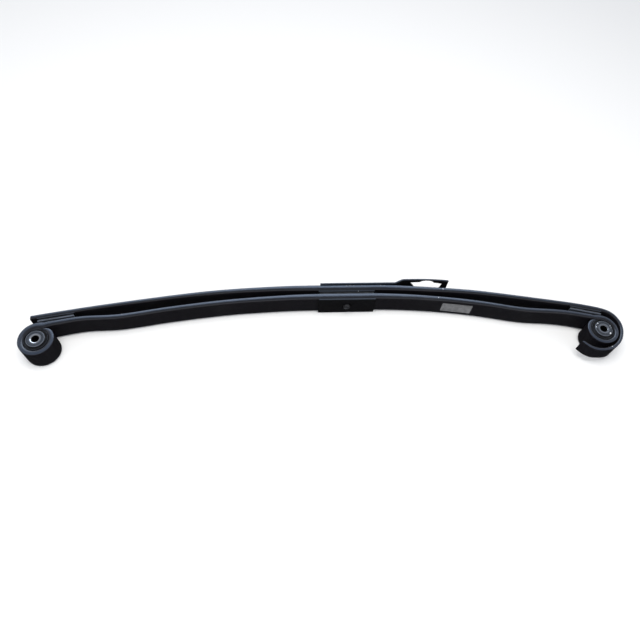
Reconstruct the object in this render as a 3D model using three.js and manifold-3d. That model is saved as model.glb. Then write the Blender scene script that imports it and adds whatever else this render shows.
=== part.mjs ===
// Two-leaf parabolic truck leaf spring, free (unloaded) shape, lying on its side.
// Units: millimetres. +X runs along the spring towards the wrapped (front) eye,
// +Y is the convex side, which faces the axle, +Z runs across the leaf width.
// Origin: centre of the end face of the centre bolt's locating head, at mid-width.
import * as THREE from 'three';
import * as BufferGeometryUtils from 'three/addons/utils/BufferGeometryUtils.js';
import Module from 'manifold-3d';

const wasm = await Module();
wasm.setup();

// ---------------------------------------------------------------- dimensions
const GAP = 0.3;                 // working clearance between touching pieces
const LEAF_WIDTH = 70;
const SLEEVE_LENGTH = 77;        // eye inner sleeves stand 3.5 proud of the leaf each side
const REAR_EYE_X = -860;         // plain-tip end
const FRONT_EYE_X = 740;         // wrapped end
const EYE_Y = -106;              // eye centres below the locating-head face
const REAR_HINGES = [-213, -472, -731];   // where each half leaf is divided
const FRONT_HINGES = [193, 412, 631];
const SECOND_OUTER_SHIFT = -6;

const HEAD_H = 6.2, HEAD_R = 9.8;
const BOLT_R = 6.0, BOLT_HOLE_R = 6.4, BOLT_END_Y = 79.5;
const PLATE_X = 83.5, PLATE_Y = [6.5, 10.5], PLATE_W = 70;
const SEAT_FAR_MAIN = 28.8, SEAT_FAR_SECOND = 58.7;
const LINER_Y = [29.1, 34.9], LINER_W = 62;
const SPACER_Y = [35.2, 40.9], SPACER_W = 67;

const BRACKET_T = 4, BRACKET_W = 77, BRACKET_Y = 59.0;
const SPOT_DEPTH = 0.2, HEAD_SPOT_R = 10.6, WASHER_SPOT_R = 12.9;   // spot faces under head and washer

const BUSH_OD_R = 32.5, BUSH_WALL = 2.0, BUSH_SLEEVE_L = 66;
const RUBBER_L = 60, INNER_R = 16.8, BORE_R = 10.75;
const WASHER_R = 25, WASHER_T = 3.0, WASHER_OUT_Z = 38.1;

// far (convex-side) face of the main leaf: station x, y
const MAIN_FAR = [[-840, -50.6], [-820, -47.0], [-800, -43.4], [-780, -39.6], [-760, -36.4],
  [-740, -34.3], [-720, -33.3], [-700, -32.9], [-680, -32.4], [-660, -31.2], [-640, -29.1],
  [-620, -26.2], [-600, -22.8], [-560, -15.8], [-520, -9.3], [-480, -3.4], [-440, 2.2],
  [-400, 7.3], [-360, 11.9], [-320, 15.8], [-280, 19.1], [-240, 22.0], [-200, 24.6],
  [-160, 26.8], [-120, 28.3], [-84, 28.8], [0, 28.8], [84, 28.8], [120, 27.4], [160, 25.2],
  [200, 22.2], [240, 18.3], [280, 13.7], [320, 8.5], [360, 2.6], [400, -4.1], [440, -12.0],
  [480, -20.4], [500, -24.3], [520, -27.6], [540, -30.1], [560, -31.9], [580, -33.3],
  [600, -34.8], [620, -36.7], [640, -39.3], [660, -42.6], [680, -46.5], [700, -51.0], [716, -54.8]];
// far face of the second leaf
const SECOND_FAR = [[-888, -32.1], [-860, -26.6], [-840, -22.9], [-820, -19.2], [-800, -15.6],
  [-780, -12.0], [-740, -5.1], [-700, 1.5], [-660, 7.8], [-620, 14.0], [-580, 20.0], [-540, 25.8],
  [-500, 31.5], [-460, 36.8], [-420, 41.6], [-380, 45.7], [-340, 49.1], [-300, 51.8],
  [-260, 54.1], [-220, 56.1], [-180, 57.7], [-140, 58.5], [-84, 58.7], [0, 58.7], [84, 58.7],
  [120, 57.5], [160, 55.0], [200, 51.9], [240, 48.8], [280, 45.4], [320, 41.8], [360, 37.6],
  [400, 32.3], [440, 26.2], [480, 19.6], [520, 12.7], [560, 5.8], [600, -1.1], [640, -8.1],
  [680, -15.6], [700, -19.9], [720, -24.8]];
// leaf thickness against distance from the centre bolt (rolled parabolic taper)
const MAIN_T = [[0, 18], [90, 18], [300, 14.6], [500, 13.6], [740, 13.6], [860, 15]];
const SECOND_T = [[0, 17.5], [90, 17.5], [300, 14], [500, 12], [700, 10.8], [890, 10.4]];
// wrapped end of the second leaf, outer and inner curves round the front eye
const WRAP_OUT = [[742, -30.4], [757, -35.2], [771, -41.6], [783, -50.6], [792, -62.5], [798.6, -77],
  [801.3, -93], [799.8, -110], [794.2, -127], [785, -143], [772.5, -156.5], [757, -166.8],
  [739, -173], [720, -175], [702, -172.6], [687, -165.6], [675.5, -155.8], [668.5, -147.4]];
const WRAP_IN = [[665.0, -143.9], [673.6, -142.9], [680.5, -149.9], [692, -158.6], [705, -164.1],
  [720, -166.2], [736.5, -164.5], [752.5, -159], [766, -149.8], [777, -137.6], [785.4, -123],
  [790.8, -108], [792.3, -93], [789.8, -79], [784.2, -66.6], [776.2, -56.8], [765.8, -49.6],
  [753, -44.6]];

// ---------------------------------------------------------------- helpers
function pchip(table) {
  // monotone piecewise-cubic interpolation through a station table
  const n = table.length, h = [], d = [], m = new Array(n).fill(0);
  for (let i = 0; i < n - 1; i++) {
    h[i] = table[i + 1][0] - table[i][0];
    d[i] = (table[i + 1][1] - table[i][1]) / h[i];
  }
  for (let i = 1; i < n - 1; i++) {
    if (d[i - 1] * d[i] > 0) {
      const w1 = 2 * h[i] + h[i - 1], w2 = h[i] + 2 * h[i - 1];
      m[i] = (w1 + w2) / (w1 / d[i - 1] + w2 / d[i]);
    }
  }
  m[0] = d[0]; m[n - 1] = d[n - 2];
  return (x) => {
    let i = 0;
    while (i < n - 2 && x > table[i + 1][0]) i++;
    const t = (x - table[i][0]) / h[i], t2 = t * t, t3 = t2 * t;
    return (2 * t3 - 3 * t2 + 1) * table[i][1] + (t3 - 2 * t2 + t) * h[i] * m[i]
      + (-2 * t3 + 3 * t2) * table[i + 1][1] + (t3 - t2) * h[i] * m[i + 1];
  };
}
function linear(table) {
  return (x) => {
    const a = Math.abs(x);
    for (let i = 0; i < table.length - 1; i++) {
      if (a <= table[i + 1][0]) {
        const f = (a - table[i][0]) / (table[i + 1][0] - table[i][0]);
        return table[i][1] + f * (table[i + 1][1] - table[i][1]);
      }
    }
    return table[table.length - 1][1];
  };
}
const mainFar = pchip(MAIN_FAR), secondFar = pchip(SECOND_FAR);
const mainT = linear(MAIN_T), secondT = linear(SECOND_T);
const mainNear = (x) => mainFar(x) - mainT(x);
const secondNear = (x) => secondFar(x) - secondT(x);
const mainMid = (x) => mainFar(x) - mainT(x) / 2;
const secondMid = (x) => secondFar(x) - secondT(x) / 2;

function stations(a, b, step) {
  const n = Math.max(1, Math.round(Math.abs(b - a) / step)), out = [];
  for (let i = 0; i <= n; i++) out.push(a + (b - a) * i / n);
  return out;
}
// pivot of a division: on the leaf's mid-line; the second leaf's lies across from the main leaf's
function mainPivot(x) {
  const s = (mainMid(x + 5) - mainMid(x - 5)) / 10;
  return { x, y: mainMid(x), a: Math.atan(s), t: mainT(x) };
}
function secondPivot(x, i) {
  const p = mainPivot(x), nx = -Math.sin(p.a), ny = Math.cos(p.a);
  let lo = 5, hi = 60;
  for (let i = 0; i < 60; i++) {
    const m = (lo + hi) / 2;
    if (p.y + ny * m < secondMid(p.x + nx * m)) lo = m; else hi = m;
  }
  const across = p.x + nx * lo, s = (secondMid(across + 5) - secondMid(across - 5)) / 10;
  // the outermost one sits slightly to the rear, which keeps the tip pad clear through the travel
  const qx = i === 2 ? across + SECOND_OUTER_SHIFT * Math.cos(Math.atan(s)) : across;
  return { x: qx, y: secondMid(qx), a: Math.atan((secondMid(qx + 5) - secondMid(qx - 5)) / 10), t: secondT(qx) };
}
// arc across the leaf at a division, from the far face to the near face (side = +1 when the
// outboard direction is +X); the arc bulges inboard, so the outboard segment has a round nose
function knuckle(p, side, r) {
  const pts = [], half = Math.asin((p.t / 2) / r), n = 8;
  const inboard = side > 0 ? p.a + Math.PI : p.a;
  for (let i = 0; i <= n; i++) {
    const q = side > 0 ? inboard - half + 2 * half * i / n : inboard + half - 2 * half * i / n;
    pts.push([p.x + r * Math.cos(q), p.y + r * Math.sin(q)]);
  }
  return pts;      // first point on the far face, last on the near face
}
function outlineSegment(far, near, pIn, pOut, side, step) {
  // closed outline of a leaf segment between two divisions (either may be null)
  const rIn = pIn ? pIn.t * 0.75 - GAP / 2 : 0, rOut = pOut ? pOut.t * 0.75 + GAP / 2 : 0;
  const kIn = knuckle(pIn, side, rIn);
  const kOut = knuckle(pOut, side, rOut);
  const f0 = kIn[0][0], f1 = kOut[0][0];
  const n0 = kIn[kIn.length - 1][0], n1 = kOut[kOut.length - 1][0];
  const pts = [];
  for (const x of stations(f0, f1, step).slice(1, -1)) pts.push([x, far(x)]);
  pts.push(...kOut);
  for (const x of stations(n1, n0, step).slice(1, -1)) pts.push([x, near(x)]);
  pts.push(...kIn.slice().reverse());
  return pts;
}
function shapeFrom(points, holes = []) {
  const s = new THREE.Shape(points.map((p) => new THREE.Vector2(p[0], p[1])));
  for (const h of holes) s.holes.push(new THREE.Path(h.map((p) => new THREE.Vector2(p[0], p[1]))));
  return s;
}
function extrude(points, width, holes = []) {
  const g = new THREE.ExtrudeGeometry(shapeFrom(points, holes),
    { depth: width, bevelEnabled: false, curveSegments: 1, steps: 1 });
  g.translate(0, 0, -width / 2);
  return g;
}
function toManifold(geometry) {
  const g = geometry.clone();
  g.deleteAttribute('normal');
  if (g.attributes.uv) g.deleteAttribute('uv');
  const m = BufferGeometryUtils.mergeVertices(g, 1e-4);
  const n = m.attributes.position.count;
  const vertProperties = new Float32Array(n * 3);
  for (let i = 0; i < n; i++) {
    vertProperties[3 * i] = m.attributes.position.getX(i);
    vertProperties[3 * i + 1] = m.attributes.position.getY(i);
    vertProperties[3 * i + 2] = m.attributes.position.getZ(i);
  }
  return new wasm.Manifold(new wasm.Mesh({
    numProp: 3, vertProperties, triVerts: new Uint32Array(m.index.array)
  }));
}
function toGeometry(manifold) {
  const mesh = manifold.getMesh();
  const pos = new Float32Array(mesh.numVert * 3);
  for (let i = 0; i < mesh.numVert; i++) {
    for (let k = 0; k < 3; k++) pos[3 * i + k] = mesh.vertProperties[i * mesh.numProp + k];
  }
  const g = new THREE.BufferGeometry();
  g.setAttribute('position', new THREE.BufferAttribute(pos, 3));
  g.setIndex(new THREE.BufferAttribute(new Uint32Array(mesh.triVerts), 1));
  g.computeVertexNormals();
  return g;
}
function cylinderAlongY(r, y0, y1, x = 0, z = 0, seg = 24) {
  const g = new THREE.CylinderGeometry(r, r, y1 - y0, seg, 1);
  g.translate(x, (y0 + y1) / 2, z);
  return g;
}
function ringAlongZ(rOut, rIn, z0, z1, seg) {
  const prof = [[rIn, z0], [rOut, z0], [rOut, z1], [rIn, z1], [rIn, z0]]
    .map((p) => new THREE.Vector2(p[0], p[1]));
  const g = new THREE.LatheGeometry(prof, seg);      // about Y
  g.rotateX(Math.PI / 2);                            // Y -> Z
  return g;
}
const group = new THREE.Group();
function material(color, roughness, metalness) {
  return new THREE.MeshStandardMaterial({ color, roughness, metalness });
}
const PAINT = () => material(0x1b1c1f, 0.45, 0.1);
const STEEL = () => material(0x8c8e92, 0.35, 0.9);
const RUBBER = () => material(0x101012, 0.9, 0.0);
const NYLON = () => material(0x4b4f56, 0.6, 0.0);
function add(name, geometry, mat, x = 0, y = 0, z = 0) {
  const mesh = new THREE.Mesh(geometry, mat);
  mesh.name = name;
  mesh.position.set(x, y, z);
  group.add(mesh);
  return mesh;
}
const pol = (cx, cy, r, deg) => [cx + r * Math.cos(deg * Math.PI / 180), cy + r * Math.sin(deg * Math.PI / 180)];

// ---------------------------------------------------------------- leaves
const mr = REAR_HINGES.map(mainPivot), mf = FRONT_HINGES.map(mainPivot);
const sr = REAR_HINGES.map(secondPivot), sf = FRONT_HINGES.map(secondPivot);

function centreOutline(far, near, pr, pf, step) {
  const kf = knuckle(pf, 1, pf.t * 0.75 + GAP / 2), kr = knuckle(pr, -1, pr.t * 0.75 + GAP / 2);
  const pts = [];
  for (const x of stations(kr[0][0], kf[0][0], step).slice(1, -1)) pts.push([x, far(x)]);
  pts.push(...kf);
  for (const x of stations(kf[kf.length - 1][0], kr[kr.length - 1][0], step).slice(1, -1)) pts.push([x, near(x)]);
  pts.push(...kr.slice().reverse());
  return pts;
}
const boltHole = () => toManifold(cylinderAlongY(BOLT_HOLE_R, -20, 100));
for (const [name, far, near, pr, pf] of [
  ['main_leaf_center', mainFar, mainNear, mr[0], mf[0]],
  ['second_leaf_center', secondFar, secondNear, sr[0], sf[0]]]) {
  const body = toManifold(extrude(centreOutline(far, near, pr, pf, 21), LEAF_WIDTH));
  add(name, toGeometry(body.subtract(boltHole())), PAINT());
}
for (const [leaf, far, near, rear, front] of [
  ['main', mainFar, mainNear, mr, mf], ['second', secondFar, secondNear, sr, sf]]) {
  for (let i = 0; i < 2; i++) {
    add(`${leaf}_leaf_front_${i + 1}`,
      extrude(outlineSegment(far, near, front[i], front[i + 1], 1, 24), LEAF_WIDTH), PAINT());
    add(`${leaf}_leaf_rear_${i + 1}`,
      extrude(outlineSegment(far, near, rear[i], rear[i + 1], -1, 26), LEAF_WIDTH), PAINT());
  }
}

// rear end of the main leaf: rolled eye, its end tapering under the leaf
{
  const c = [REAR_EYE_X, EYE_Y], rin = BUSH_OD_R + GAP;
  const k = knuckle(mr[2], -1, mr[2].t * 0.75 - GAP / 2);
  const pts = [];
  for (const x of stations(k[0][0], -838, 14).slice(1)) pts.push([x, mainFar(x)]);
  const outer = [[76, 55.2], [88, 53.8], [100, 52.9], [112, 52.0], [124, 51.1], [136, 50.3], [148, 49.6],
    [160, 49.1], [172, 48.7], [184, 48.4], [196, 48.2], [208, 48], [220, 48], [232, 48], [244, 48], [256, 48],
    [268, 48], [280, 48], [292, 48], [304, 48], [316, 48], [328, 48], [340, 48], [352, 48], [364, 47.9],
    [376, 47.7], [388, 47.2], [398, 46.5], [406, 45.2], [414, 42.6], [421, 39.2], [427, 34.6]];
  for (const [a, r] of outer) pts.push(pol(...c, r, a));
  for (let a = 428; a >= 80; a -= 12) pts.push(pol(...c, rin, a));
  pts.push([c[0] + 9.5, c[1] + 32.9], [c[0] + 15, c[1] + 35.6], [c[0] + 22, c[1] + 38.8], [c[0] + 31, c[1] + 42.0]);
  for (const x of stations(-817, k[k.length - 1][0], 14).slice(0, -1)) pts.push([x, mainNear(x)]);
  pts.push(...k.slice().reverse());
  add('main_leaf_rear_3', extrude(pts, LEAF_WIDTH), PAINT());
}
// front end of the main leaf: rolled eye
{
  const c = [FRONT_EYE_X, EYE_Y], rin = BUSH_OD_R + GAP;
  const k = knuckle(mf[2], 1, mf[2].t * 0.75 - GAP / 2);
  const pts = [];
  for (const x of stations(k[0][0], 715, 12).slice(1)) pts.push([x, mainFar(x)]);
  const outer = [[106, 50.2], [94, 48.4], [82, 47.2], [70, 46.4], [58, 45.8], [46, 45.3], [34, 45], [22, 44.8],
    [10, 44.7], [-2, 44.7], [-14, 44.7], [-26, 44.7], [-38, 44.7], [-50, 44.8], [-62, 44.9], [-74, 45],
    [-86, 45.1], [-98, 45.2], [-110, 45.2], [-122, 45.2], [-134, 45.2], [-146, 45.2], [-158, 45.2], [-170, 45.2],
    [-182, 45.1], [-194, 45], [-206, 44.7], [-216, 44.1], [-224, 43.2], [-232, 41.4], [-239, 38.6], [-246, 34.4]];
  for (const [a, r] of outer) pts.push(pol(...c, r, a));
  for (let a = -247; a <= 98; a += 12) pts.push(pol(...c, rin, a));
  pts.push([c[0] - 9.5, c[1] + 32.7], [c[0] - 15.5, c[1] + 34.9], [c[0] - 23, c[1] + 37.6]);
  for (const x of stations(706, k[k.length - 1][0], 14).slice(0, -1)) pts.push([x, mainNear(x)]);
  pts.push(...k.slice().reverse());
  add('main_leaf_front_3', extrude(pts, LEAF_WIDTH).clone(), PAINT());
}

// ends of the second leaf with the tip-pad rivet holes
const RIVET_R = 4, RIVET_HOLE_R = 4.3;
const REAR_PAD = [-869, -771], FRONT_PAD = [662, 752];
function tangentFrame(far, x) {
  const s = (far(x + 8) - far(x - 8)) / 16;
  return Math.atan(s);
}
function rivetHoleCutter(x, y, a) {
  const g = new THREE.CylinderGeometry(RIVET_HOLE_R, RIVET_HOLE_R, 60, 20, 1);
  g.rotateZ(a);
  g.translate(x, y, 0);
  return toManifold(g);
}
const rearRivetX = -822, frontRivetX = 704;
const rearA = tangentFrame(secondNear, rearRivetX), frontA = tangentFrame(secondNear, frontRivetX);
{
  const k = knuckle(sr[2], -1, sr[2].t * 0.75 - GAP / 2);
  const pts = [];
  for (const x of stations(k[0][0], -886, 22).slice(1)) pts.push([x, secondFar(x)]);
  pts.push([-888, secondFar(-888) - 1.2], [-888, secondNear(-888) + 0.6], [-887, secondNear(-887)]);
  for (const x of stations(-887, k[k.length - 1][0], 22).slice(1, -1)) pts.push([x, secondNear(x)]);
  pts.push(...k.slice().reverse());
  const body = toManifold(extrude(pts, LEAF_WIDTH));
  add('second_leaf_rear_3', toGeometry(body.subtract(rivetHoleCutter(rearRivetX, secondNear(rearRivetX), rearA))), PAINT());
}
{
  const k = knuckle(sf[2], 1, sf[2].t * 0.75 - GAP / 2);
  const pts = [];
  for (const x of stations(k[0][0], 728, 16).slice(1)) pts.push([x, secondFar(x)]);
  pts.push(...WRAP_OUT, ...WRAP_IN);
  for (const x of stations(740, k[k.length - 1][0], 18).slice(0, -1)) {
    pts.push([x, x > 720 ? secondFar(720) - (x - 720) * 0.27 - secondT(x) : secondNear(x)]);
  }
  pts.push(...k.slice().reverse());
  // the wrap narrows on its lower side towards its end
  const trim = new THREE.ExtrudeGeometry(shapeFrom([[640, -40], [780, -40], [774, -35], [757, -25], [739, -18],
    [720, -14.5], [640, -14.5]]), { depth: 80, bevelEnabled: false, steps: 1 });
  trim.rotateX(Math.PI / 2);
  trim.translate(0, -120, 0);
  const body = toManifold(extrude(pts, LEAF_WIDTH)).subtract(toManifold(trim));
  add('second_leaf_front_3', toGeometry(body.subtract(rivetHoleCutter(frontRivetX, secondNear(frontRivetX), frontA))), PAINT());
}

// ---------------------------------------------------------------- tip pads (laminated, on the second leaf)
// each pad is a flat stack lying along the leaf: steel backing, rubber core, wear liner
function padStack(prefix, x0, x1, rivetX, a, nearFn) {
  // top line: highest straight line that stays GAP below the second leaf over the pad
  const s = Math.tan(a);
  let top = 1e9, low = -1e9;
  for (const x of stations(x0, x1, 3)) {
    top = Math.min(top, nearFn(x) - s * (x - rivetX));
    const f = mainTop(x);
    low = Math.max(low, f - s * (x - rivetX));
  }
  top -= GAP; low += PAD_RUN;
  const total = (top - low) * Math.cos(a);
  const tBack = 3.0, tWear = 4.2, tRub = total - tBack - tWear - 2 * GAP;
  const at = (x, d) => {      // point at distance d below the top line, x measured along the pad
    const y = top + s * (x - rivetX);
    return [x + Math.sin(a) * d, y - Math.cos(a) * d];
  };
  const slab = (name, xa, xb, d0, d1, w, mat, hole) => {
    const g = extrude([at(xa, d0), at(xb, d0), at(xb, d1), at(xa, d1)].reverse(), w);
    if (!hole) { add(name, g, mat); return; }
    add(name, toGeometry(toManifold(g).subtract(rivetHoleCutter(rivetX, nearFn(rivetX), a))), mat);
  };
  slab(`${prefix}_pad_backing`, x0, x1, 0, tBack, 68, PAINT(), true);
  slab(`${prefix}_pad_rubber`, x0 + 3, x1 - 3, tBack + GAP, tBack + GAP + tRub, 62, RUBBER(), true);
  slab(`${prefix}_pad_wear_liner`, x0 + 1, x1 - 1, tBack + 2 * GAP + tRub, total, 68, NYLON(), false);
  // rivet: round head on the leaf's far face, shank through leaf, backing and rubber
  const farDist = secondT(rivetX);
  const hx = rivetX, hy = nearFn(rivetX);
  const up = farDist + 1.2;
  const prof = [[0, up + 3.2], [3.6, up + 3.0], [6.4, up + 2.0], [7.5, up], [RIVET_R, up],
    [RIVET_R, -(tBack + tRub + GAP)], [0, -(tBack + tRub + GAP)]].reverse().map((p) => new THREE.Vector2(p[0], p[1]));
  const g = new THREE.LatheGeometry(prof, 20);
  g.rotateZ(a);
  g.translate(hx, hy, 0);
  add(`${prefix}_pad_rivet`, g, STEEL());
  return { total, tRub };
}
const PAD_RUN = 0.5;       // running clearance between the wear liner and the main leaf
const frontNear = (x) => (x > 720 ? secondFar(720) - (x - 720) * 0.27 - secondT(x) : secondNear(x));
function mainTop(x) {
  if (x < -838) {           // over the rear eye
    const dx = x - REAR_EYE_X;
    return EYE_Y + Math.sqrt(Math.max(0, 54.6 ** 2 - dx * dx));
  }
  if (x > 716) {            // over the front eye
    const dx = x - FRONT_EYE_X;
    return EYE_Y + Math.sqrt(Math.max(0, 49.2 ** 2 - dx * dx)) + 0.3;
  }
  return mainFar(x);
}
padStack('rear', REAR_PAD[0], REAR_PAD[1], rearRivetX, rearA, secondNear);
padStack('front', FRONT_PAD[0], FRONT_PAD[1], frontRivetX, frontA, frontNear);

// ---------------------------------------------------------------- centre clamp pieces
function flatPlate(x0, x1, y0, y1, w) {
  const g = extrude([[x0, y0], [x1, y0], [x1, y1], [x0, y1]], w);
  return toManifold(g);
}
add('top_clamp_plate', toGeometry(flatPlate(-PLATE_X, PLATE_X, PLATE_Y[0], PLATE_Y[1], PLATE_W).subtract(boltHole())
  .subtract(toManifold(cylinderAlongY(HEAD_SPOT_R, PLATE_Y[0] - 2, PLATE_Y[0] + SPOT_DEPTH)))), PAINT());
add('center_liner', toGeometry(flatPlate(-PLATE_X + 3, PLATE_X - 3, LINER_Y[0], LINER_Y[1], LINER_W).subtract(boltHole())), RUBBER());
add('center_spacer', toGeometry(flatPlate(-PLATE_X, PLATE_X, SPACER_Y[0], SPACER_Y[1], SPACER_W).subtract(boltHole())), PAINT());

// stop bracket: flat strip under the second leaf, stepping out to an arched end with a window
{
  const near = [[-77, BRACKET_Y], [145.5, BRACKET_Y], [151, BRACKET_Y + 1.6], [166.6, BRACKET_Y + 9.6],
    [171.8, BRACKET_Y + 11.2], [226, BRACKET_Y + 11.4], [278, BRACKET_Y + 8.8], [308, BRACKET_Y + 4.8]];
  const far = near.map((p, i) => {
    const a = near[Math.max(0, i - 1)], b = near[Math.min(near.length - 1, i + 1)];
    const l = Math.hypot(b[0] - a[0], b[1] - a[1]);
    return [p[0] - (b[1] - a[1]) / l * BRACKET_T, p[1] + (b[0] - a[0]) / l * BRACKET_T];
  });
  far[0][0] = -77;
  const strip = toManifold(extrude([...near, ...far.slice().reverse()], BRACKET_W));
  // window: tapered slot with a round relief, cut through along Y
  const win = shapeFrom([[193.5, 25], [223.5, 26.4], [228, 30.8], [234, 33.4], [241, 34.8], [254, 34.3], [261, 31],
    [267, 25.2], [293.4, 22], [289.6, 2], [286, -14], [218, -14], [206.3, 7.4]]);
  const wg = new THREE.ExtrudeGeometry(win, { depth: 60, bevelEnabled: false, steps: 1 });
  wg.rotateX(Math.PI / 2);           // (x, y) -> (x, z); extrusion runs towards -Y
  wg.translate(0, 110, 0);
  const seat = toManifold(cylinderAlongY(WASHER_SPOT_R, BRACKET_Y + BRACKET_T - SPOT_DEPTH, BRACKET_Y + BRACKET_T + 2));
  add('stop_bracket', toGeometry(strip.subtract(toManifold(wg)).subtract(boltHole()).subtract(seat)), PAINT());
}

// centre bolt: round locating head, shank; washer and nut on the bracket side
{
  const headTop = HEAD_H;
  const prof = [[0, 0], [HEAD_R - 0.8, 0], [HEAD_R, 0.8], [HEAD_R, headTop], [BOLT_R, headTop],
    [BOLT_R, BOLT_END_Y - 1.2], [BOLT_R - 1.2, BOLT_END_Y], [0, BOLT_END_Y]].map((p) => new THREE.Vector2(p[0], p[1]));
  add('center_bolt', new THREE.LatheGeometry(prof, 24), STEEL());
  const wy = BRACKET_Y + BRACKET_T + GAP;
  const washer = toManifold(cylinderAlongY(12, wy, wy + 2.5)).subtract(boltHole());
  add('center_washer', toGeometry(washer), STEEL());
  const hex = new THREE.CylinderGeometry(10.97, 10.97, 10, 6, 1);
  hex.translate(0, wy + 2.8 + 5, 0);
  add('center_nut', toGeometry(toManifold(hex).subtract(boltHole())), STEEL());
}

// ---------------------------------------------------------------- eye bushes
for (const [prefix, ex] of [['rear', REAR_EYE_X], ['front', FRONT_EYE_X]]) {
  const ring = (name, ro, ri, z0, z1, seg, mat) => add(name, ringAlongZ(ro, ri, z0, z1, seg), mat, ex, EYE_Y, 0);
  ring(`${prefix}_bush_outer_sleeve`, BUSH_OD_R, BUSH_OD_R - BUSH_WALL, -BUSH_SLEEVE_L / 2, BUSH_SLEEVE_L / 2, 36, STEEL());
  ring(`${prefix}_bush_rubber`, BUSH_OD_R - BUSH_WALL - GAP, INNER_R + GAP, -RUBBER_L / 2, RUBBER_L / 2, 36, RUBBER());
  ring(`${prefix}_bush_inner_sleeve`, INNER_R, BORE_R, -SLEEVE_LENGTH / 2, SLEEVE_LENGTH / 2, 32, STEEL());
  ring(`${prefix}_bush_washer_upper`, WASHER_R, INNER_R + GAP, WASHER_OUT_Z - WASHER_T, WASHER_OUT_Z, 36, PAINT());
  ring(`${prefix}_bush_washer_lower`, WASHER_R, INNER_R + GAP, -WASHER_OUT_Z, -WASHER_OUT_Z + WASHER_T, 36, PAINT());
}

// ---------------------------------------------------------------- foil label, blank, on the main leaf's near face
{
  const xs = stations(284, 373.5, 18), top = [], bot = [];
  for (const x of xs) { top.push([x, mainNear(x) - GAP]); bot.push([x, mainNear(x) - GAP - 0.5]); }
  const g = new THREE.ExtrudeGeometry(shapeFrom([...bot, ...top.reverse()]), { depth: 41.8, bevelEnabled: false, steps: 1 });
  g.translate(0, 0, -20.7);
  add('label', g, material(0x77797c, 0.4, 0.2));
}

export default group;
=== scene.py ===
import math
import bpy
import bmesh
from mathutils import Matrix, Vector
from mathutils.kdtree import KDTree


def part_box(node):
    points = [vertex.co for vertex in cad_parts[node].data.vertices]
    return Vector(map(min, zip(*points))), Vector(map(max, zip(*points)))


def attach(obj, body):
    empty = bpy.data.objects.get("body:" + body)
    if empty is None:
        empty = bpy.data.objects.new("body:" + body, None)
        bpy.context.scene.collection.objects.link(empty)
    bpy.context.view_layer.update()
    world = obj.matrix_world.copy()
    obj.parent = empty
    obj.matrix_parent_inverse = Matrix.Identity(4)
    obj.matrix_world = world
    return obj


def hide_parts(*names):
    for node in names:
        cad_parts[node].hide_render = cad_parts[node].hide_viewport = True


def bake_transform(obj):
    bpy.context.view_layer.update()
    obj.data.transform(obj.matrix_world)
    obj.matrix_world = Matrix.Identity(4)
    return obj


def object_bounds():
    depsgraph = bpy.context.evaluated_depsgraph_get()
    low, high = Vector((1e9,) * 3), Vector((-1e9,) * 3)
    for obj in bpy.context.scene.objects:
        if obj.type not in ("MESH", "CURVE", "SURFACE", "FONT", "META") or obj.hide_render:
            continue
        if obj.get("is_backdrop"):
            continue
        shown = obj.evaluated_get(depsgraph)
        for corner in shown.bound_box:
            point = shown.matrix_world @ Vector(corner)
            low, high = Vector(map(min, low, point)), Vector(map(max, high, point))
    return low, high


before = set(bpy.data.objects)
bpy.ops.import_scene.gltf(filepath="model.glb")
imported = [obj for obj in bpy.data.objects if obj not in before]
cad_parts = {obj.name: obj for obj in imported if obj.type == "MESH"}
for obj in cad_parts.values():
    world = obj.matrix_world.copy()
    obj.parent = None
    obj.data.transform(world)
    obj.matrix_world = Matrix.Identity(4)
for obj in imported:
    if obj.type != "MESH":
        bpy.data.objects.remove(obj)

_lo, _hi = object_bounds()
CAD_LO, CAD_HI = [float(c) for c in _lo], [float(c) for c in _hi]
MM = 0.001
scene = bpy.context.scene
scene.view_settings.view_transform = "Standard"
scene.view_settings.look = "None"

# =============================================================== camera
def place_camera():
    yaw, pitch, roll = -0.142494520, 1.04114125, 0.107059471
    cy, sy, cp, sp = math.cos(yaw), math.sin(yaw), math.cos(pitch), math.sin(pitch)
    fwd = Vector((-sy * cp, cy * cp, -sp))
    right = Vector((cy, sy, 0))
    up = right.cross(fwd)
    cr, sr = math.cos(roll), math.sin(roll)
    r2, u2 = cr * right + sr * up, -sr * right + cr * up
    cam = bpy.data.cameras.new("camera")
    cam.sensor_width = 36.0
    cam.lens = 32.5875
    cam.clip_start, cam.clip_end = 0.01, 100.0
    ob = bpy.data.objects.new("camera", cam)
    m = Matrix((r2, u2, -fwd)).transposed().to_4x4()
    m.translation = Vector((-0.202469, -0.884698, 1.457003))
    ob.matrix_world = m
    scene.collection.objects.link(ob)
    scene.camera = ob


place_camera()

# =============================================================== curves of the leaves (millimetres)
GAP = 0.3
REAR_EYE, FRONT_EYE = (-860.0, -106.0), (740.0, -106.0)
MAIN_FAR = [[-840, -50.6], [-820, -47.0], [-800, -43.4], [-780, -39.6], [-760, -36.4],
  [-740, -34.3], [-720, -33.3], [-700, -32.9], [-680, -32.4], [-660, -31.2], [-640, -29.1],
  [-620, -26.2], [-600, -22.8], [-560, -15.8], [-520, -9.3], [-480, -3.4], [-440, 2.2],
  [-400, 7.3], [-360, 11.9], [-320, 15.8], [-280, 19.1], [-240, 22.0], [-200, 24.6],
  [-160, 26.8], [-120, 28.3], [-84, 28.8], [0, 28.8], [84, 28.8], [120, 27.4], [160, 25.2],
  [200, 22.2], [240, 18.3], [280, 13.7], [320, 8.5], [360, 2.6], [400, -4.1], [440, -12.0],
  [480, -20.4], [500, -24.3], [520, -27.6], [540, -30.1], [560, -31.9], [580, -33.3],
  [600, -34.8], [620, -36.7], [640, -39.3], [660, -42.6], [680, -46.5], [700, -51.0], [716, -54.8]]
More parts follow.
